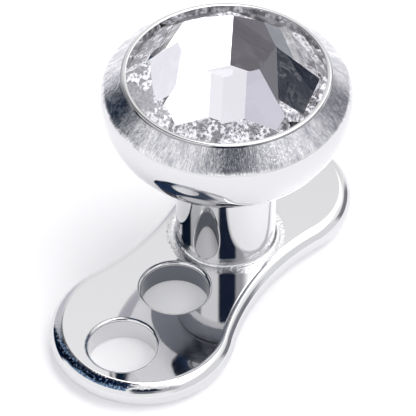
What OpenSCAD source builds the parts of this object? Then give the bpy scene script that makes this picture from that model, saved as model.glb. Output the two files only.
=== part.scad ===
// Dermal anchor with a bezel set gem top.
// The foot plate lies in the XY plane with its underside at Z = 0. The riser's axis is the Z axis,
// and the toe with the two tissue holes points along -X. All lengths are in millimetres.

/* [Foot plate] */
// Thickness of the foot plate, whose edge is fully rounded
plate_t = 0.45; // [0.36:0.01:0.6]
// Radius of the toe lobe
toe_r = 1.5; // [1.3:0.05:1.8]
// Radius of the heel lobe
heel_r = 1.41; // [1.2:0.05:1.7]
// Distance from the riser's axis to the middle of the heel lobe
heel_reach = 1.25; // [1:0.05:1.6]
// Width of the plate at its waist
waist_w = 2.26; // [2.05:0.05:2.4]

/* [Tissue holes] */
// Diameter of the two tissue holes
hole_d = 1.1; // [0.8:0.05:1.25]
// Width of the countersink around each hole
hole_sink = 0.06; // [0.02:0.01:0.1]
// Metal between the riser and the near hole's countersink
riser_web = 0.085; // [0.07:0.005:0.2]
// Metal between the countersinks of the two holes
hole_web = 0.29; // [0.2:0.05:0.5]
// Metal between the far hole and the tip of the toe
toe_web = 0.365; // [0.3:0.05:0.6]

/* [Riser] */
// Diameter of the riser
riser_d = 1.63; // [1.55:0.05:2]
// Height of the riser above the foot plate
riser_h = 1.84; // [1.6:0.1:3]
// Radius of the weld fillet at the riser's foot
weld_r = 0.05; // [0.02:0.01:0.06]

/* [Thread] */
// Diameter over the crests of the stem's thread
thread_d = 1.18; // [1:0.02:1.24]
// Depth of the thread
thread_depth = 0.08; // [0.05:0.01:0.12]
// Pitch of the thread
thread_pitch = 0.25; // [0.2:0.05:0.3]
// Number of threads on the stem
thread_turns = 5; // [3:1:5]
// Radial clearance between the stem's crests and the riser's bore
thread_clear = 0.03; // [0.01:0.01:0.05]
// Room left under the stem in the bore
bore_spare = 0.08; // [0.05:0.01:0.15]

/* [Head] */
// Diameter of the head at its widest
head_d = 4; // [3.8:0.1:5]
// Radius of the rounded bowl under the head
bowl_r = 1.2; // [1.15:0.05:1.4]
// Height of the upright land between the bowl and the shoulder
land_h = 0.045; // [0.02:0.005:0.1]
// Radius of the rounded shoulder outside the brushed band
shoulder_r = 0.25; // [0.15:0.01:0.28]
// Rise of the lip above the centre of the shoulder's rounding
bevel_h = 0.46; // [0.4:0.02:0.6]
// Width of the polished face on top of the lip
lip_face = 0.07; // [0.05:0.01:0.12]
// Thickness of the lip over the gem's edge
lip_t = 0.135; // [0.09:0.005:0.15]
// Gap between the seated head and the riser's top
head_gap = 0.01; // [0.005:0.005:0.03]

/* [Gem] */
// Diameter of the gem at its girdle
gem_d = 3.24; // [2.9:0.02:3.3]
// How far the lip covers the gem's edge
lip_lap = 0.04; // [0.03:0.005:0.06]
// Diameter across the corners of the gem's table
table_d = 1.53; // [1.4:0.01:1.8]
// Angle of the crown's main facets
crown_angle = 45; // [42:0.5:46]
// Thickness of the girdle under the middle of each main facet
girdle_t = 0.03; // [0.02:0.01:0.06]
// Height of the ring of facets between the girdle and the flat back
lower_h = 0.26; // [0.2:0.01:0.32]
// Angle of the facets between the girdle and the flat back
lower_angle = 72; // [66:1:78]
// Turn of the gem's facets about its axis
gem_turn = 6.5; // [0:0.5:45]
// Gap between the gem and its setting
gem_gap = 0.01; // [0.005:0.005:0.02]

/* [Hidden] */
$fn = 96;

steel_color = [0.82, 0.82, 0.84];
brushed_color = [0.74, 0.73, 0.76];
gem_color = [0.93, 0.93, 0.98];

// Surfaces that are cut away reach this far past the solid.
over = 0.04;

// Foot plate
edge_r = plate_t / 2;
riser_r = riser_d / 2;
hole_r = hole_d / 2;
sink_r = hole_r + hole_sink;
near_hole_x = -(riser_r + riser_web + sink_r);
far_hole_x = near_hole_x - 2 * sink_r - hole_web;
toe_x = far_hole_x - hole_r - toe_web + toe_r;
heel_x = heel_reach;

// The waist is an arc on each side that touches both lobes, so each lobe's centre lies the lobe's
// radius plus the arc's radius from the arc's centre. From the toe's centre, the arc's centre is at
// [shift + slant * radius, half width + radius], which gives a quadratic in the arc's radius.
lobe_gap = heel_x - toe_x;
waist_half = waist_w / 2;
waist_shift = (lobe_gap * lobe_gap + toe_r * toe_r - heel_r * heel_r) / (2 * lobe_gap);
waist_slant = (toe_r - heel_r) / lobe_gap;
term_0 = waist_shift * waist_shift + waist_half * waist_half - toe_r * toe_r;
term_1 = 2 * (toe_r - waist_half - waist_shift * waist_slant);
term_2 = waist_slant * waist_slant;
waist_r = 2 * term_0 / (term_1 + sqrt(term_1 * term_1 - 4 * term_2 * term_0));
waist_x = toe_x + waist_shift + waist_slant * waist_r;
waist_y = waist_half + waist_r;
toe_turn = atan2(waist_y, waist_x - toe_x);
heel_turn = atan2(waist_y, waist_x - heel_x);

// Riser and thread
riser_top = plate_t + riser_h;
thread_r = thread_d / 2;
bore_r = thread_r + thread_clear;
neck_h = thread_pitch;
stem_len = neck_h + thread_turns * thread_pitch;

// Head
head_z = riser_top + head_gap;
head_r = head_d / 2;
bore_bottom = head_z - stem_len - bore_spare;
bowl_x = head_r - bowl_r;
bowl_z = head_z + bowl_r;
shoulder_x = head_r - shoulder_r;
shoulder_z = bowl_z + land_h;
lip_z = shoulder_z + bevel_h;

// Gem
gem_r = gem_d / 2;
table_r = table_d / 2;
open_r = gem_r - lip_lap;
lip_r = open_r + lip_face;
mains = 8;
half_sector = 180 / mains;
quarter_sector = half_sector / 2;
// Each main facet runs from one side of the table to two corners on the girdle, and dips between
// them because the girdle is rounder than the facet is wide.
crown_slope = tan(crown_angle);
crown_h = (gem_r - table_r) * cos(half_sector) * crown_slope;
crown_dip = gem_r * (1 - cos(half_sector)) * crown_slope;
foot_drop = crown_dip + girdle_t;
back_drop = foot_drop + lower_h;
back_r = gem_r - lower_h / (tan(lower_angle) * cos(quarter_sector));
// The gem sits where the edges between its main facets just clear the lip's underside.
ridge_slope = cos(half_sector) * crown_slope;
girdle_z = lip_z - lip_t - gem_gap - (gem_r - open_r) * ridge_slope;

// The point where the brushed band's slope touches the shoulder's rounding
band_rise = [lip_r - shoulder_x, lip_z - shoulder_z];
band_turn = atan2(band_rise[1], band_rise[0]) - acos(shoulder_r / norm(band_rise));
band_foot = [shoulder_x + shoulder_r * cos(band_turn), shoulder_z + shoulder_r * sin(band_turn)];

// Half section of the flat plate out to a rounded edge at the given radius
module lobe_section(radius) {
    square([radius - edge_r, plate_t]);
    translate([radius - edge_r, edge_r]) circle(r = edge_r);
}

// A lobe of the plate, as the sector between the two waist arcs
module lobe(radius, turn) {
    rotate([0, 0, turn]) rotate_extrude(angle = 360 - 2 * turn) lobe_section(radius);
}

// The flat middle of the plate, which laps into both lobes and into the strips behind the edges
module waist_web() {
    linear_extrude(plate_t) difference() {
        polygon([
            [toe_x - plate_t, 0], [waist_x, -waist_y], [heel_x + plate_t, 0], [waist_x, waist_y]
        ]);
        for (side = [-1, 1]) translate([waist_x, side * waist_y]) circle(r = waist_r + plate_t);
    }
}

// The rounded edge along one waist arc, with a flat strip behind it that laps into the web
module waist_edge() {
    translate([waist_x, waist_y, 0]) rotate([0, 0, 180 + toe_turn])
        rotate_extrude(angle = heel_turn - toe_turn) translate([waist_r + edge_r, 0]) {
            translate([0, edge_r]) circle(r = edge_r);
            square(plate_t);
        }
}

module foot_plate() {
    translate([toe_x, 0, 0]) lobe(toe_r, toe_turn);
    translate([heel_x, 0, 0]) mirror([1, 0, 0]) lobe(heel_r, 180 - heel_turn);
    waist_web();
    waist_edge();
    mirror([0, 1, 0]) waist_edge();
}

// A tissue hole with a countersink at both faces
module tissue_hole() {
    translate([0, 0, -over]) cylinder(r = hole_r, h = plate_t + 2 * over);
    translate([0, 0, plate_t - hole_sink]) cylinder(r1 = hole_r, r2 = sink_r + over, h = hole_sink + over);
    translate([0, 0, -over]) cylinder(r1 = sink_r + over, r2 = hole_r, h = hole_sink + over);
}

// The weld fillet between the riser and the plate
module weld_fillet() {
    rotate_extrude() translate([riser_r, plate_t]) difference() {
        translate([-weld_r, -weld_r]) square(2 * weld_r);
        translate([weld_r, weld_r]) circle(r = weld_r);
    }
}

// The foot plate with the riser welded to it, which is one solid
module anchor_base() {
    color(steel_color) difference() {
        union() {
            foot_plate();
            cylinder(r = riser_r, h = riser_top);
            weld_fillet();
        }
        for (x = [near_hole_x, far_hole_x]) translate([x, 0, 0]) tissue_hole();
        translate([0, 0, bore_bottom]) cylinder(r = bore_r, h = riser_top - bore_bottom + over);
    }
}

// Half section of the head without its pocket
module head_section() {
    polygon([
        [0, head_z], [bowl_x, head_z], [bowl_x, bowl_z], [head_r, bowl_z], [head_r, shoulder_z],
        band_foot, [lip_r, lip_z], [0, lip_z]
    ]);
    intersection() {
        translate([bowl_x, bowl_z]) circle(r = bowl_r);
        translate([bowl_x, head_z]) square(bowl_r);
    }
    intersection() {
        translate([shoulder_x, shoulder_z]) circle(r = shoulder_r);
        translate([shoulder_x, shoulder_z]) square(shoulder_r);
    }
}

// Half section of the pocket that the gem sits in, open at the top
module pocket_section() {
    wall_r = gem_r + gem_gap;
    wall_top = lip_z - lip_t - (wall_r - open_r) * ridge_slope;
    seat_z = girdle_z - back_drop - gem_gap;
    polygon([
        [0, lip_z + over], [open_r, lip_z + over], [open_r, lip_z - lip_t], [wall_r, wall_top],
        [wall_r, girdle_z - foot_drop - gem_gap], [back_r + gem_gap, seat_z], [0, seat_z]
    ]);
}

// Half section of the stem: a plain neck, then a groove at the foot of each thread
module stem_section() {
    root_r = thread_r - thread_depth;
    tip_z = head_z - stem_len;
    polygon([
        [0, head_z + over], [root_r, head_z + over],
        for (i = [thread_turns : -1 : 1])
            each [
                [root_r, tip_z + i * thread_pitch],
                [thread_r, tip_z + (i - 0.5) * thread_pitch]
            ],
        [root_r, tip_z], [0, tip_z]
    ]);
}

// The gem cup with its lip, brushed band, bowl and threaded stem, turned as one solid
module bezel_cup() {
    color(brushed_color) {
        rotate_extrude() difference() {
            head_section();
            pocket_section();
        }
        rotate_extrude() stem_section();
    }
}

// Points on a circle at the given radius, at the given heights in turn
function ring(radius, heights) =
    [for (i = [0 : len(heights) - 1]) let (a = i * 360 / len(heights)) [radius * cos(a), radius * sin(a), heights[i]]];

// The gem, a round flat backed stone. Its rings of corners, from the table down, are the table,
// the girdle's two edges and the flat back.
module gem() {
    count = 2 * mains;
    table = ring(table_r, [for (i = [1 : mains]) crown_h]);
    girdle_top = ring(gem_r, [for (i = [1 : mains]) each [0, -crown_dip]]);
    girdle_foot = ring(gem_r, [for (i = [1 : count]) -foot_drop]);
    back = ring(back_r, [for (i = [1 : count]) -back_drop]);
    top_0 = mains;
    foot_0 = top_0 + count;
    back_0 = foot_0 + count;
    faces = [
        [for (i = [mains - 1 : -1 : 0]) i],
        [for (i = [0 : count - 1]) back_0 + i],
        for (i = [0 : mains - 1])
            let (next = (i + 1) % mains)
            [i, next, top_0 + 2 * next, top_0 + 2 * i + 1, top_0 + 2 * i],
        for (i = [0 : count - 1])
            let (next = (i + 1) % count)
            each [
                [top_0 + i, top_0 + next, foot_0 + next, foot_0 + i],
                [foot_0 + i, foot_0 + next, back_0 + next, back_0 + i]
            ]
    ];
    color(gem_color) translate([0, 0, girdle_z]) rotate([0, 0, gem_turn - half_sector])
        polyhedron(concat(table, girdle_top, girdle_foot, back), faces);
}

anchor_base();
bezel_cup();
gem();
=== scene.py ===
"""Dermal anchor with a bezel set gem top: its looks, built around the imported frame.

Sizes are in millimetres, in the frame's own axes, and are turned into metres when a mesh is made.
"""

import math

import bpy
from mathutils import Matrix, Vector
from mathutils.geometry import tessellate_polygon


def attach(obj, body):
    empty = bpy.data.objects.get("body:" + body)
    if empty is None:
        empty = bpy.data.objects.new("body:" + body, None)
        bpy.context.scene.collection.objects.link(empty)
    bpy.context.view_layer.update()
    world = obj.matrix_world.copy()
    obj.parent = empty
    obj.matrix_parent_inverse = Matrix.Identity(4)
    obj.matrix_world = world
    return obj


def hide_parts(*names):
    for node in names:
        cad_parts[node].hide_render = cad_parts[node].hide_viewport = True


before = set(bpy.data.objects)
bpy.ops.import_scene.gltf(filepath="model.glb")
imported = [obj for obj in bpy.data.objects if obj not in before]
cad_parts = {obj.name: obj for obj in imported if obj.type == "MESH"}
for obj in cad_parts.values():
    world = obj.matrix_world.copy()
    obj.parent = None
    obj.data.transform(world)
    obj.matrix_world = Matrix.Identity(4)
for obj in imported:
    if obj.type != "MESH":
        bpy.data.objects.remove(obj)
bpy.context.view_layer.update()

MM = 0.001

# Foot plate
PLATE_T = 0.45
EDGE_R = PLATE_T / 2
TOE_X, TOE_R = -2.435, 1.5
HEEL_X, HEEL_R = 1.25, 1.41
WAIST_X, WAIST_Y, WAIST_R = -0.460394, 5.08401, 3.95401
FAR_HOLE_X, NEAR_HOLE_X = -3.02, -1.51
HOLE_R, HOLE_SINK = 0.55, 0.06

# Riser, its weld and its bore
RISER_R, RISER_TOP = 0.815, 2.29
RISER_RIM = 0.03
WELD_R = 0.05
BORE_R, BORE_BOTTOM = 0.62, 0.72

# Thread of the stem and of the bore. Its section is a triangle, THREAD_FLANK times as high as the
# depth and cut off flat there, and it fades over the runout at both ends.
THREAD_R, THREAD_DEPTH, THREAD_PITCH = 0.59, 0.08, 0.25
THREAD_FLANK = 1.6
STEM_LEN, NECK_H = 1.5, 0.25
STEM_RUNOUT = 0.08
BORE_GROOVE, BORE_RUNOUT = 0.06, 0.1

# Head, in which the bowl is painted dark up to one angle, as painted shade under the head, and the
# shoulder is polished up to another
HEAD_Z, HEAD_R = 2.30, 2.0
BOWL_R = 1.2
BOWL_X, BOWL_Z = HEAD_R - BOWL_R, HEAD_Z + BOWL_R
SHADE_PAINTED_TURN = math.radians(-68)
SHOULDER_R = 0.25
SHOULDER_X, SHOULDER_Z = HEAD_R - SHOULDER_R, 3.545
POLISH_TURN = math.radians(29.4)
BAND_TURN = math.radians(44.355)
LIP_Z, LIP_R, OPEN_R, LIP_T = 4.005, 1.65, 1.58, 0.135
LIP_ROUND, LIP_TILT = 0.01, math.radians(14)
LIP_GROOVE = 0.02

# Gem
GEM_R, TABLE_R = 1.62, 0.765
MAINS = 8
HALF_SECTOR = math.pi / MAINS
CROWN_SLOPE, LOWER_SLOPE = math.tan(math.radians(45)), math.tan(math.radians(72))
RIDGE_SLOPE = CROWN_SLOPE * math.cos(HALF_SECTOR)
CROWN_H = (GEM_R - TABLE_R) * RIDGE_SLOPE
CROWN_DIP = GEM_R * (1 - math.cos(HALF_SECTOR)) * CROWN_SLOPE
GIRDLE_T, LOWER_H = 0.03, 0.26
FOOT_DROP = CROWN_DIP + GIRDLE_T
BACK_DROP = FOOT_DROP + LOWER_H
BACK_R = GEM_R - LOWER_H / (LOWER_SLOPE * math.cos(HALF_SECTOR / 2))
GEM_TURN = math.radians(6.5)
GEM_GAP = 0.01
GIRDLE_Z = LIP_Z - LIP_T - GEM_GAP - (GEM_R - OPEN_R) * RIDGE_SLOPE

# The mirror foil on the flat back, and its corners where the crumpled edge foil creeps in over it
MIRROR_R = 1.3
FOIL_CREEP = {5: (-0.11, 0.99), 6: (-0.51, 0.71), 7: (-0.74, 0.43), 8: (-1.06, 0.30)}

# Fineness of the meshes, and of the grid on which points of one shell coincide
TURNS = 288
GRID_PER_MM = 1e5
ARC_STEP = math.radians(4)
BOWL_STEP = math.radians(2)
HOLE_STEP = math.radians(10)
LIP_STEP = math.radians(20)
PITCH_STEPS = 12
EDGE_STEPS = 24
HEEL_STEPS, WAIST_STEPS, TOE_STEPS = 150, 60, 180

# Material slots of the metal pieces and of the stone, in the order in which they take them
POLISHED, SHADE_PAINTED, BRUSHED, SEAT = range(4)
CLEAR, CRUMPLED, MIRRORED = range(3)


class Shell:
    """Faces with a normal at each corner. Points that coincide are welded into one."""

    def __init__(self):
        self.index = {}
        self.points = []
        self.faces = []
        self.normals = []
        self.slots = []

    def point(self, p):
        key = tuple(round(c * GRID_PER_MM) for c in p)
        if key not in self.index:
            self.index[key] = len(self.points)
            self.points.append(tuple(c * MM for c in p))
        return self.index[key]

    def face(self, corners, normals, slot=0):
        kept, kept_normals = [], []
        for corner, normal in zip(corners, normals):
            i = self.point(corner)
            if i not in kept:
                kept.append(i)
                kept_normals.append(normal)
        if len(kept) > 2:
            self.faces.append(kept)
            self.normals.extend(kept_normals)
            self.slots.append(slot)

    def piece(self, name, materials):
        mesh = bpy.data.meshes.new(name)
        mesh.from_pydata(self.points, [], self.faces)
        for made in materials:
            mesh.materials.append(made)
        mesh.polygons.foreach_set("material_index", self.slots)
        mesh.polygons.foreach_set("use_smooth", [True] * len(self.faces))
        mesh.normals_split_custom_set([Vector(n).normalized() for n in self.normals])
        piece = bpy.data.objects.new(name, mesh)
        bpy.context.scene.collection.objects.link(piece)
        return piece


def line(start, end):
    """A straight run of a profile, with its normal to the right of its direction of travel."""
    dr, dz = end[0] - start[0], end[1] - start[1]
    normal = (dz / math.hypot(dr, dz), -dr / math.hypot(dr, dz))
    return [(start, normal), (end, normal)]


def arc(centre, radius, start, end, step=ARC_STEP):
    """A rounded run of a profile from one angle to the other, hollow if the angle falls."""
    count = max(2, math.ceil(abs(end - start) / step))
    side = 1 if end > start else -1
    run = []
    for i in range(count + 1):
        a = start + (end - start) * i / count
        direction = (math.cos(a), math.sin(a))
        spot = (centre[0] + radius * direction[0], centre[1] + radius * direction[1])
        run.append((spot, (side * direction[0], side * direction[1])))
    return run


def lathe(shell, runs, centre=(0, 0), slots=None):
    """Turns each run of a profile, drawn upwards along the outside, about a vertical axis."""
    slots = slots or [POLISHED] * len(runs)
    turn = [2 * math.pi * k / TURNS for k in range(TURNS + 1)]
    spin = [(math.cos(a), math.sin(a)) for a in turn[:-1]]
    spin.append(spin[0])
    for run, slot in zip(runs, slots):
        for ((r0, z0), n0), ((r1, z1), n1) in zip(run, run[1:]):
            for (ca, sa), (cb, sb) in zip(spin, spin[1:]):
                shell.face(
                    [
                        (centre[0] + r0 * ca, centre[1] + r0 * sa, z0),
                        (centre[0] + r0 * cb, centre[1] + r0 * sb, z0),
                        (centre[0] + r1 * cb, centre[1] + r1 * sb, z1),
                        (centre[0] + r1 * ca, centre[1] + r1 * sa, z1),
                    ],
                    [
                        (n0[0] * ca, n0[0] * sa, n0[1]),
                        (n0[0] * cb, n0[0] * sb, n0[1]),
                        (n1[0] * cb, n1[0] * sb, n1[1]),
                        (n1[0] * ca, n1[0] * sa, n1[1]),
                    ],
                    slot,
                )


def circle(centre, radius, z):
    """The points of a turned edge, in the same places as lathe() puts them."""
    return [
        (
            centre[0] + radius * math.cos(2 * math.pi * k / TURNS),
            centre[1] + radius * math.sin(2 * math.pi * k / TURNS),
            z,
        )
        for k in range(TURNS)
    ]


def thread(shell, bottom, top, root, depth, outward, runout):
    """A helical thread from one height to the other, which faces outward on a stem and else inward
    in a bore. It widens the root's radius by the depth, and fades over the runout at both ends."""
    levels = max(2, round((top - bottom) / (THREAD_PITCH / PITCH_STEPS)))
    sign = 1 if outward else -1

    def spot(level, k):
        z = bottom + (top - bottom) * level / levels
        a = 2 * math.pi * (k % TURNS) / TURNS
        phase = (z / THREAD_PITCH - a / (2 * math.pi)) % 1
        ridge = min(1, THREAD_FLANK * (1 - abs(2 * phase - 1)))
        fade = min(1, (z - bottom) / runout, (top - z) / runout)
        return a, root + depth * ridge * max(0, fade), z

    grid = [[spot(level, k) for k in range(TURNS)] for level in range(levels + 1)]
    points = [[Vector((r * math.cos(a), r * math.sin(a), z)) for a, r, z in row] for row in grid]

    def normal(level, k):
        across = points[level][(k + 1) % TURNS] - points[level][k - 1]
        up = points[min(level + 1, levels)][k] - points[max(level - 1, 0)][k]
        return sign * across.cross(up).normalized()

    normals = [[normal(level, k) for k in range(TURNS)] for level in range(levels + 1)]
    for level in range(levels):
        for k in range(TURNS):
            j = (k + 1) % TURNS
            ends = [(level, k), (level, j), (level + 1, j), (level + 1, k)]
            if not outward:
                ends.reverse()
            shell.face([points[a][b] for a, b in ends], [normals[a][b] for a, b in ends])


def plate_outline():
    """Points on the plate's outline with their outward directions, anticlockwise from above."""
    outline = []

    def bend(centre, radius, start, end, count, side):
        for i in range(count):
            a = start + (end - start) * i / count
            c, s = math.cos(a), math.sin(a)
            outline.append(((centre[0] + radius * c, centre[1] + radius * s), (side * c, side * s)))

    toe = math.atan2(WAIST_Y, WAIST_X - TOE_X)
    heel = math.atan2(WAIST_Y, WAIST_X - HEEL_X)
    bend((HEEL_X, 0), HEEL_R, -heel, heel, HEEL_STEPS, 1)
    bend((WAIST_X, WAIST_Y), WAIST_R, heel - math.pi, toe - math.pi, WAIST_STEPS, -1)
    bend((TOE_X, 0), TOE_R, toe, 2 * math.pi - toe, TOE_STEPS, 1)
    bend((WAIST_X, -WAIST_Y), WAIST_R, math.pi - toe, math.pi - heel, WAIST_STEPS, -1)
    return outline


def anchor_shell():
    """The foot plate with its tissue holes, and the riser with its weld and threaded bore."""
    shell = Shell()
    outline = plate_outline()

    def rim(i, turn):
        (x, y), (nx, ny) = outline[i % len(outline)]
        inset = EDGE_R * (1 - math.cos(turn))
        spot = (x - inset * nx, y - inset * ny, EDGE_R + EDGE_R * math.sin(turn))
        return spot, (nx * math.cos(turn), ny * math.cos(turn), math.sin(turn))

    turns = [math.pi * (i / EDGE_STEPS - 0.5) for i in range(EDGE_STEPS + 1)]
    for low, high in zip(turns, turns[1:]):
        for i in range(len(outline)):
            ends = [rim(i, low), rim(i + 1, low), rim(i + 1, high), rim(i, high)]
            shell.face([p for p, n in ends], [n for p, n in ends])

    sink_r = HOLE_R + HOLE_SINK
    # The near hole's wall takes the dark steel, which is painted shade in the hole.
    for x, wall in ((FAR_HOLE_X, POLISHED), (NEAR_HOLE_X, SHADE_PAINTED)):
        top, foot = (sink_r, PLATE_T - HOLE_SINK), (sink_r, HOLE_SINK)
        lathe(
            shell,
            [
                arc(top, HOLE_SINK, math.pi / 2, math.pi, HOLE_STEP),
                line((HOLE_R, top[1]), (HOLE_R, foot[1])),
                arc(foot, HOLE_SINK, math.pi, 1.5 * math.pi, HOLE_STEP),
            ],
            (x, 0),
            [POLISHED, wall, wall],
        )

    weld_foot_r = RISER_R + WELD_R
    for z, inner in ((PLATE_T, [circle((0, 0), weld_foot_r, PLATE_T)]), (0, [])):
        turn = math.pi / 2 if z else -math.pi / 2
        loops = [[rim(i, turn)[0] for i in range(len(outline))]]
        loops += [circle((x, 0), sink_r, z) for x in (FAR_HOLE_X, NEAR_HOLE_X)] + inner
        spots = [p for loop in loops for p in loop]
        for triple in tessellate_polygon([[Vector(p) for p in loop] for loop in loops]):
            a, b, c = (Vector(spots[i]) for i in triple)
            if ((b - a).cross(c - a).z > 0) != (z > 0):
                triple = triple[::-1]
            shell.face([spots[i] for i in triple], [(0, 0, 1 if z else -1)] * 3)

    lathe(
        shell,
        [
            arc((weld_foot_r, PLATE_T + WELD_R), WELD_R, 1.5 * math.pi, math.pi),
            line((RISER_R, PLATE_T + WELD_R), (RISER_R, RISER_TOP - RISER_RIM)),
            arc((RISER_R - RISER_RIM, RISER_TOP - RISER_RIM), RISER_RIM, 0, math.pi / 2),
            line((RISER_R - RISER_RIM, RISER_TOP), (BORE_R + RISER_RIM, RISER_TOP)),
            line((BORE_R + RISER_RIM, RISER_TOP), (BORE_R, RISER_TOP - RISER_RIM)),
        ],
    )
    thread(shell, BORE_BOTTOM, RISER_TOP - RISER_RIM, BORE_R, BORE_GROOVE, False, BORE_RUNOUT)
    lathe(shell, [line((BORE_R, BORE_BOTTOM), (0, BORE_BOTTOM))])
    return shell


def cup_shell():
    """The head with its bowl, brushed band and lip, the pocket under the gem, and the stem."""
    shell = Shell()
    bowl, shoulder = (BOWL_X, BOWL_Z), (SHOULDER_X, SHOULDER_Z)
    root = THREAD_R - THREAD_DEPTH
    tip = HEAD_Z - STEM_LEN
    neck = HEAD_Z - NECK_H
    lathe(shell, [line((0, tip), (root, tip))])
    thread(shell, tip, neck, root, THREAD_DEPTH, True, STEM_RUNOUT)
    # The flat underside and the lower bowl take the dark steel, which is painted shade under the
    # head.
    lathe(
        shell,
        [
            line((root, neck), (root, HEAD_Z)),
            line((root, HEAD_Z), (BOWL_X, HEAD_Z)),
            arc(bowl, BOWL_R, -math.pi / 2, SHADE_PAINTED_TURN, BOWL_STEP),
        ],
        slots=[POLISHED, SHADE_PAINTED, SHADE_PAINTED],
    )
    lathe(
        shell,
        [
            arc(bowl, BOWL_R, SHADE_PAINTED_TURN, 0, BOWL_STEP),
            line((HEAD_R, BOWL_Z), (HEAD_R, SHOULDER_Z)),
            arc(shoulder, SHOULDER_R, 0, POLISH_TURN),
        ],
    )

    # The band starts on the shoulder and ends at a fine groove at the lip's foot.
    band_start = (
        SHOULDER_X + SHOULDER_R * math.cos(BAND_TURN),
        SHOULDER_Z + SHOULDER_R * math.sin(BAND_TURN),
    )
    band_end = (LIP_R + LIP_GROOVE, LIP_Z - 2 * LIP_GROOVE)
    groove_end = (LIP_R, LIP_Z - 3 * LIP_GROOVE)
    lathe(
        shell,
        [arc(shoulder, SHOULDER_R, POLISH_TURN, BAND_TURN), line(band_start, band_end)],
        slots=[BRUSHED, BRUSHED],
    )

    # The lip's top is a low crown between two small rounded corners.
    lip_mid, lip_half = (LIP_R + OPEN_R) / 2, (LIP_R - OPEN_R) / 2
    crown_r = (lip_half - LIP_ROUND) / math.sin(LIP_TILT) + LIP_ROUND
    corner_z = LIP_Z - crown_r + (crown_r - LIP_ROUND) * math.cos(LIP_TILT)
    outer, inner = math.pi / 2 - LIP_TILT, math.pi / 2 + LIP_TILT
    lathe(
        shell,
        [
            line(band_end, groove_end),
            line(groove_end, (LIP_R, corner_z)),
            arc((LIP_R - LIP_ROUND, corner_z), LIP_ROUND, 0, outer, LIP_STEP),
            arc((lip_mid, LIP_Z - crown_r), crown_r, outer, inner),
            arc((OPEN_R + LIP_ROUND, corner_z), LIP_ROUND, inner, math.pi, LIP_STEP),
            line((OPEN_R, corner_z), (OPEN_R, LIP_Z - LIP_T)),
        ],
    )

    wall_r = GEM_R + GEM_GAP
    wall_top = LIP_Z - LIP_T - (wall_r - OPEN_R) * RIDGE_SLOPE
    wall_foot = GIRDLE_Z - FOOT_DROP - GEM_GAP
    seat_r, seat_z = BACK_R + GEM_GAP, GIRDLE_Z - BACK_DROP - GEM_GAP
    lathe(
        shell,
        [
            line((OPEN_R, LIP_Z - LIP_T), (wall_r, wall_top)),
            line((wall_r, wall_top), (wall_r, wall_foot)),
            line((wall_r, wall_foot), (seat_r, seat_z)),
            line((seat_r, seat_z), (0, seat_z)),
        ],
        slots=[SEAT] * 4,
    )
    return shell


def ring(radius, heights):
    """Corners on a circle about the gem's axis, at the given heights in turn."""
    corners = []
    for i, height in enumerate(heights):
        a = GEM_TURN - HALF_SECTOR + 2 * math.pi * i / len(heights)
        corners.append(Vector((radius * math.cos(a), radius * math.sin(a), GIRDLE_Z + height)))
    return corners


def gem_shell():
    """The flat backed stone: its crown is clear, its girdle, lower facets and the rim of its back
    have the crumpled edge foil behind them, and the rest of its back is a mirror."""
    shell = Shell()
    count = 2 * MAINS
    table = ring(TABLE_R, [CROWN_H] * MAINS)
    top = ring(GEM_R, [0, -CROWN_DIP] * MAINS)
    foot = ring(GEM_R, [-FOOT_DROP] * count)
    back = ring(BACK_R, [-BACK_DROP] * count)
    mirror = ring(MIRROR_R, [-BACK_DROP] * count)
    for i, spot in FOIL_CREEP.items():
        mirror[i] = Vector((*spot, GIRDLE_Z - BACK_DROP))
    middle = Vector((0, 0, GIRDLE_Z - FOOT_DROP))

    def facet(corners, slot):
        normal = (corners[1] - corners[0]).cross(corners[2] - corners[0])
        if normal.dot(sum(corners, Vector()) / len(corners) - middle) < 0:
            corners, normal = corners[::-1], -normal
        shell.face(corners, [normal.normalized()] * len(corners), slot)

    facet(table, CLEAR)
    for i in range(MAINS):
        after = (i + 1) % MAINS
        facet([table[i], table[after], top[2 * after], top[2 * i + 1], top[2 * i]], CLEAR)
    for i in range(count):
        after = (i + 1) % count
        for upper, lower in ((top, foot), (foot, back), (back, mirror)):
            facet([upper[i], upper[after], lower[after], lower[i]], CRUMPLED)
    facet(mirror, MIRRORED)
    return shell


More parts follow.
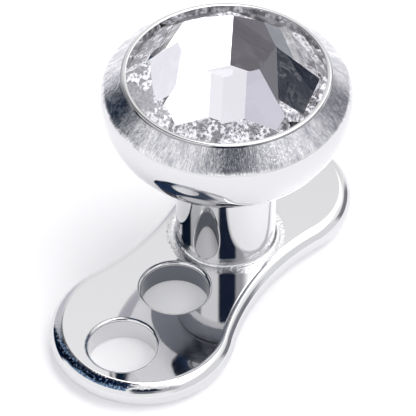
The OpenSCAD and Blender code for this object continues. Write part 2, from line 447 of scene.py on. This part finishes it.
class Graph:
    """Short calls for a node tree, in which a value is a number, a colour or a socket."""

    def __init__(self, tree):
        self.tree = tree
        tree.nodes.clear()

    def node(self, kind, output=0, inputs=None, **settings):
        node = self.tree.nodes.new(kind)
        for key, value in settings.items():
            setattr(node, key, value)
        for key, value in (inputs or {}).items():
            if isinstance(value, bpy.types.NodeSocket):
                self.tree.links.new(value, node.inputs[key])
            else:
                node.inputs[key].default_value = value
        return node.outputs[output] if node.outputs else node

    def math(self, operation, a, b=0.0):
        return self.node("ShaderNodeMath", 0, {0: a, 1: b}, operation=operation)

    def product(self, first, *others):
        for other in others:
            first = self.math("MULTIPLY", first, other)
        return first

    def total(self, first, *others):
        for other in others:
            first = self.math("ADD", first, other)
        return first

    def vector_math(self, operation, a, b, output=0):
        return self.node("ShaderNodeVectorMath", output, {0: a, 1: b}, operation=operation)

    def dot(self, vector, direction):
        return self.vector_math("DOT_PRODUCT", vector, direction, 1)

    def split(self, vector):
        return self.node("ShaderNodeSeparateXYZ", 0, {0: vector}).node.outputs

    def spot(self):
        """The place on the piece, in metres."""
        return self.node("ShaderNodeTexCoord", "Object")

    def stretch(self, vector, scale):
        return self.node("ShaderNodeMapping", 0, {"Vector": vector, "Scale": scale})

    def reach(self, x, y):
        """The distance from the riser's axis."""
        return self.math("SQRT", self.total(self.product(x, x), self.product(y, y)))

    def span(self, value, low, high, to_low=0.0, to_high=1.0):
        """Eases from one level to the other while the value goes from low to high."""
        inputs = {0: value, 1: low, 2: high, 3: to_low, 4: to_high}
        return self.node("ShaderNodeMapRange", 0, inputs, interpolation_type="SMOOTHSTEP")

    def fade(self, value, low, high):
        """Eases from one to nothing while the value goes from low to high."""
        return self.span(value, low, high, 1.0, 0.0)

    def noise(self, vector, scale, detail=2.0, roughness=0.5, output=0):
        inputs = {"Vector": vector, "Scale": scale, "Detail": detail, "Roughness": roughness}
        return self.node("ShaderNodeTexNoise", output, inputs)

    def mix(self, share, a, b):
        return self.node("ShaderNodeMix", 2, {0: share, 6: a, 7: b}, data_type="RGBA")

    def bump(self, height, strength, distance):
        inputs = {"Strength": strength, "Distance": distance, "Height": height}
        return self.node("ShaderNodeBump", 0, inputs)

    def surface(self, color, roughness, **others):
        """Ends a material with its shader. Other inputs are named with _ for each space."""
        inputs = {"Base Color": color, "Roughness": roughness}
        inputs.update({name.replace("_", " "): value for name, value in others.items()})
        shader = self.node("ShaderNodeBsdfPrincipled", 0, inputs)
        self.node("ShaderNodeOutputMaterial", 0, {"Surface": shader})


def material(name):
    made = bpy.data.materials.new(name)
    made.use_nodes = True
    return made, Graph(made.node_tree)


def polished_steel():
    """Mirror polished steel, with the faint waves and hairlines that polishing leaves, the rough
    bead of the weld round the riser's foot, pits along the toe's rounded edge, and a painted dark
    speckled reflection of the studio's dark side on that edge."""
    made, g = material("polished_steel")
    spot = g.spot()
    x, y, z = g.split(spot)
    level = g.split(g.node("ShaderNodeNewGeometry", "Normal"))["Z"]

    bead = g.product(
        g.fade(g.reach(x, y), 0.9 * MM, 1.01 * MM),
        g.span(z, 0.35 * MM, 0.42 * MM),
        g.fade(z, 0.49 * MM, 0.58 * MM),
    )
    pitted = g.product(
        g.span(level, 0.75, 0.88),
        g.span(z, 0.34 * MM, 0.38 * MM),
        g.fade(z, 0.44 * MM, 0.4495 * MM),
        g.fade(x, -3.4 * MM, -2.8 * MM),
    )
    ragged_y = g.total(y, g.product(g.noise(spot, 9000.0, 3.0, 0.7), 0.2 * MM))
    # Painted reflection: a dark navy speckled band is painted where the toe's rounded edge slopes
    # towards the dark side of the studio.
    painted_dark_band = g.product(
        g.span(level, 0.66, 0.72),
        g.fade(z, 0.443 * MM, 0.4495 * MM),
        g.span(ragged_y, -0.5 * MM, -0.44 * MM),
        g.fade(y, 0.8 * MM, 1.2 * MM),
        g.fade(x, -3.2 * MM, -3.0 * MM),
    )
    speckle = g.span(g.noise(spot, 30000.0, 2.0, 0.6), 0.45, 0.62)
    painted_dark_reflection = g.mix(speckle, (0.045, 0.07, 0.13, 1), (0.22, 0.33, 0.47, 1))

    waves = g.noise(spot, 900.0, 1.0)
    hairlines = g.noise(g.stretch(spot, (3.0, 40.0, 8.0)), 900.0, 3.0)
    pits = g.span(g.noise(spot, 26000.0, 3.0, 0.6), 0.56, 0.66)
    lumps = g.noise(spot, 14000.0, 3.0, 0.65)
    relief = g.total(
        g.product(waves, 0.6),
        g.product(hairlines, 0.02),
        g.product(pits, pitted, 2.5),
        g.product(lumps, bead, 6.0),
    )
    g.surface(
        g.mix(painted_dark_band, (0.70, 0.70, 0.71, 1), painted_dark_reflection),
        g.total(g.span(hairlines, 0.3, 0.7, 0.03, 0.06), g.product(bead, 0.15)),
        Metallic=1.0,
        Normal=g.bump(relief, 0.5, 0.0035 * MM),
    )
    return made


def shade_painted_steel():
    """Rougher steel on the near tissue hole's wall and on the head round the stem, painted dark as
    painted shade in the hole and under the head.
    """
    made, g = material("shade_painted_steel")
    marks = g.noise(g.stretch(g.spot(), (1.0, 1.0, 20.0)), 900.0, 3.0)
    # The dark base colour is painted shade.
    g.surface((0.20, 0.21, 0.24, 1), g.span(marks, 0.3, 0.7, 0.12, 0.22), Metallic=1.0)
    return made


def brushed_steel():
    """Steel brushed straight down the band, so the marks run across it towards the lip."""
    made, g = material("brushed_steel")
    spot = g.spot()
    x, y, _ = g.split(spot)
    turn = g.math("ARCTAN2", y, x)
    reach = g.reach(x, y)

    def around(stretch):
        """The place round the axis, in which the distance from it is stretched."""
        inputs = {0: g.math("COSINE", turn), 1: g.math("SINE", turn), 2: g.product(reach, stretch)}
        return g.node("ShaderNodeCombineXYZ", 0, inputs)

    long_marks, short_marks = around(60.0), around(300.0)
    fine = g.noise(long_marks, 160.0, 3.0, 0.7)
    coarse = g.noise(short_marks, 38.0, 3.0, 0.6)
    grain = g.noise(spot, 20000.0, 3.0, 0.65)
    patches = g.noise(short_marks, 9.0, 4.0, 0.7)
    tone = g.total(g.product(fine, 0.6), g.product(patches, 0.6), g.product(grain, 0.3))
    relief = g.total(g.product(fine, 0.5), g.product(coarse, 0.6), g.product(grain, 0.8))
    g.surface(
        g.mix(g.span(tone, 0.58, 0.92), (0.41, 0.41, 0.45, 1), (0.88, 0.88, 0.89, 1)),
        g.span(grain, 0.3, 0.7, 0.12, 0.2),
        Metallic=1.0,
        Normal=g.bump(relief, 1.0, 0.0045 * MM),
    )
    return made


def seat_steel():
    """The machined seat under the gem."""
    made, g = material("seat_steel")
    rings = g.noise(g.stretch(g.spot(), (1.0, 1.0, 30.0)), 600.0, 2.0)
    g.surface((0.6, 0.6, 0.62, 1), g.span(rings, 0.3, 0.7, 0.2, 0.4), Metallic=1.0)
    return made


def crystal():
    """Clear crystal, very slightly cool."""
    made, g = material("crystal")
    wear = g.noise(g.spot(), 4000.0, 2.0)
    g.surface(
        (0.97, 0.97, 1.0, 1),
        g.span(wear, 0.4, 0.8, 0.0, 0.01),
        IOR=1.6,
        Transmission_Weight=1.0,
    )
    return made


def foil():
    """The silvered flat back, seen through the stone."""
    made, g = material("foil")
    wear = g.noise(g.spot(), 3000.0, 2.0)
    g.surface((0.86, 0.85, 0.88, 1), g.span(wear, 0.4, 0.8, 0.01, 0.03), Metallic=1.0)
    return made


def edge_foil():
    """The crumpled foil and glue behind the stone's edge. Its flakes give off a little light, which
    stands for the glitter that the light paths through the stone don't carry."""
    made, g = material("edge_foil")
    spot = g.spot()
    crumple = g.noise(spot, 15000.0, 4.0, 0.65)
    sway = g.vector_math("MULTIPLY", g.noise(spot, 9000.0, 3.0, output="Color"), (0.06 * MM,) * 3)
    bent = g.vector_math("ADD", spot, sway)
    flakes = g.node("ShaderNodeTexVoronoi", "Color", {"Vector": bent, "Scale": 5500.0})
    tone = g.node("ShaderNodeSeparateColor", 0, {0: flakes})
    patches = g.span(tone, 0.3, 0.8, 0.12, 0.85)
    g.surface(
        (0.6, 0.6, 0.62, 1),
        0.3,
        Metallic=1.0,
        Normal=g.bump(crumple, 1.0, 0.04 * MM),
        Emission_Color=(1.0, 0.99, 1.0, 1),
        Emission_Strength=g.product(patches, g.span(crumple, 0.42, 0.56, 0.03, 1.1)),
    )
    return made


# Camera, fitted to the photograph
CAMERA_TURN, CAMERA_RISE = math.radians(-56.803), math.radians(45.098)
CAMERA_DISTANCE = 55.1455
FOCAL_PIXELS, FRAME_PIXELS = 3417.8, 416
SENSOR_WIDTH = 36.0
CLIP_START, CLIP_END = 2, 100000
AIM = Vector((-0.4965, 0.0257, 1.4000))
BACK = Vector(
    (
        math.sin(CAMERA_TURN) * math.cos(CAMERA_RISE),
        -math.cos(CAMERA_TURN) * math.cos(CAMERA_RISE),
        math.sin(CAMERA_RISE),
    )
)


def place_camera():
    data = bpy.data.cameras.new("camera")
    data.sensor_width = SENSOR_WIDTH
    data.lens = SENSOR_WIDTH * FOCAL_PIXELS / FRAME_PIXELS
    data.clip_start = CLIP_START * MM
    data.clip_end = CLIP_END * MM
    camera = bpy.data.objects.new("camera", data)
    bpy.context.scene.collection.objects.link(camera)
    camera.location = (AIM + CAMERA_DISTANCE * BACK) * MM
    camera.rotation_euler = (-BACK).to_track_quat("-Z", "Y").to_euler()
    bpy.context.scene.camera = camera


# The studio round the object, in degrees from the camera's own side, positive to its right. Each
# card is a soft edged patch: its middle, half its width, its lowest and highest elevation, the
# softness of its edges and its light.
CARDS = [
    ("back", 180, 34, -10, 46, 6, (0.90, 0.90, 0.90)),
    ("back left", -147, 14, -10, 42, 5, (0.64, 0.63, 0.69)),
    ("right wall", 66, 34, -10, 44, 6, (0.86, 0.86, 0.88)),
    ("right softbox", 98, 48, 47, 86, 6, (3.0, 3.0, 3.0)),
    ("back softbox", 155, 33, 52, 86, 4, (3.0, 3.0, 3.0)),
    ("back right softbox", 148, 17, 36, 54, 4, (1.7, 1.7, 1.7)),
    ("back right flag", 120, 20, -10, 27, 6, (0.24, 0.24, 0.27)),
    ("back left haze", -152, 18, 43, 60, 3, (0.20, 0.20, 0.21)),
    ("left flag", -115.5, 17.5, -10, 34, 4, (0.003, 0.018, 0.045)),
    ("left flag head", -106, 17, 28, 52, 3, (0.002, 0.008, 0.022)),
    ("ceiling flag", -150, 22, 57, 80, 3, (0.085, 0.078, 0.092)),
    ("ceiling flag middle", -94, 38, 56, 84, 3, (0.025, 0.05, 0.11)),
    ("ceiling flag front", -95, 35, 46, 62, 3, (0.012, 0.022, 0.045)),
    ("ceiling flag end", -50, 24, 62, 84, 5, (0.08, 0.10, 0.15)),
    ("tripod", 2, 15, 26, 42, 5, (0.16, 0.17, 0.20)),
    ("camera side", 28, 14, 26, 56, 6, (0.50, 0.50, 0.53)),
    ("camera", 3, 20, 41, 64, 4, (0.012, 0.020, 0.046)),
]
TENT_LIGHT = (1.04, 1.04, 1.05)
STUDIO_STRENGTH = 1.09


def studio_world():
    """A white tent with brighter softboxes and the dark things that the steel picks up."""
    world = bpy.data.worlds.new("studio")
    bpy.context.scene.world = world
    world.use_nodes = True
    g = Graph(world.node_tree)
    way = g.node("ShaderNodeTexCoord", "Generated")
    camera_side = math.atan2(BACK.y, BACK.x)
    rise = g.math("ARCSINE", g.split(way)["Z"])
    light = g.node("ShaderNodeCombineColor", 0, dict(enumerate(TENT_LIGHT)))
    for _, middle, half, low, high, soft, level in CARDS:
        a = camera_side + math.radians(middle)
        ahead = g.dot(way, (math.cos(a), math.sin(a), 0))
        across = g.dot(way, (-math.sin(a), math.cos(a), 0))
        turn = g.math("ABSOLUTE", g.math("ARCTAN2", across, ahead))
        half, low, high, soft = (math.radians(v) for v in (half, low, high, soft))
        mask = g.product(
            g.fade(turn, half - soft, half + soft),
            g.span(rise, low - soft, low + soft),
            g.fade(rise, high - soft, high + soft),
        )
        light = g.mix(mask, light, (*level, 1))
    shade = g.node("ShaderNodeBackground", 0, {"Color": light, "Strength": STUDIO_STRENGTH})
    g.node("ShaderNodeOutputWorld", 0, {"Surface": shade})


FLOOR_HALF = 600


def floor():
    """A plain pale floor. It gives off a little light, which brings it to a studio's even white."""
    size = FLOOR_HALF * MM
    mesh = bpy.data.meshes.new("floor")
    corners = [(-size, -size, 0), (size, -size, 0), (size, size, 0), (-size, size, 0)]
    mesh.from_pydata(corners, [], [(0, 1, 2, 3)])
    made, g = material("floor")
    g.surface(
        (0.85, 0.845, 0.86, 1),
        0.9,
        Emission_Color=(1.0, 0.995, 1.0, 1),
        Emission_Strength=0.27,
    )
    mesh.materials.append(made)
    plane = bpy.data.objects.new("floor", mesh)
    bpy.context.scene.collection.objects.link(plane)


steel, shade_painted, brushed, seat = polished_steel(), shade_painted_steel(), brushed_steel(), seat_steel()

anchor = anchor_shell().piece("anchor", [steel, shade_painted])
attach(anchor, "anchor")
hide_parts("anchor_base")

cup = cup_shell().piece("cup", [steel, shade_painted, brushed, seat])
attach(cup, "top")
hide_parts("bezel_cup")

stone = gem_shell().piece("stone", [crystal(), edge_foil(), foil()])
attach(stone, "top")
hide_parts("gem")

floor()
studio_world()
place_camera()
bpy.context.scene.view_settings.view_transform = "Standard"
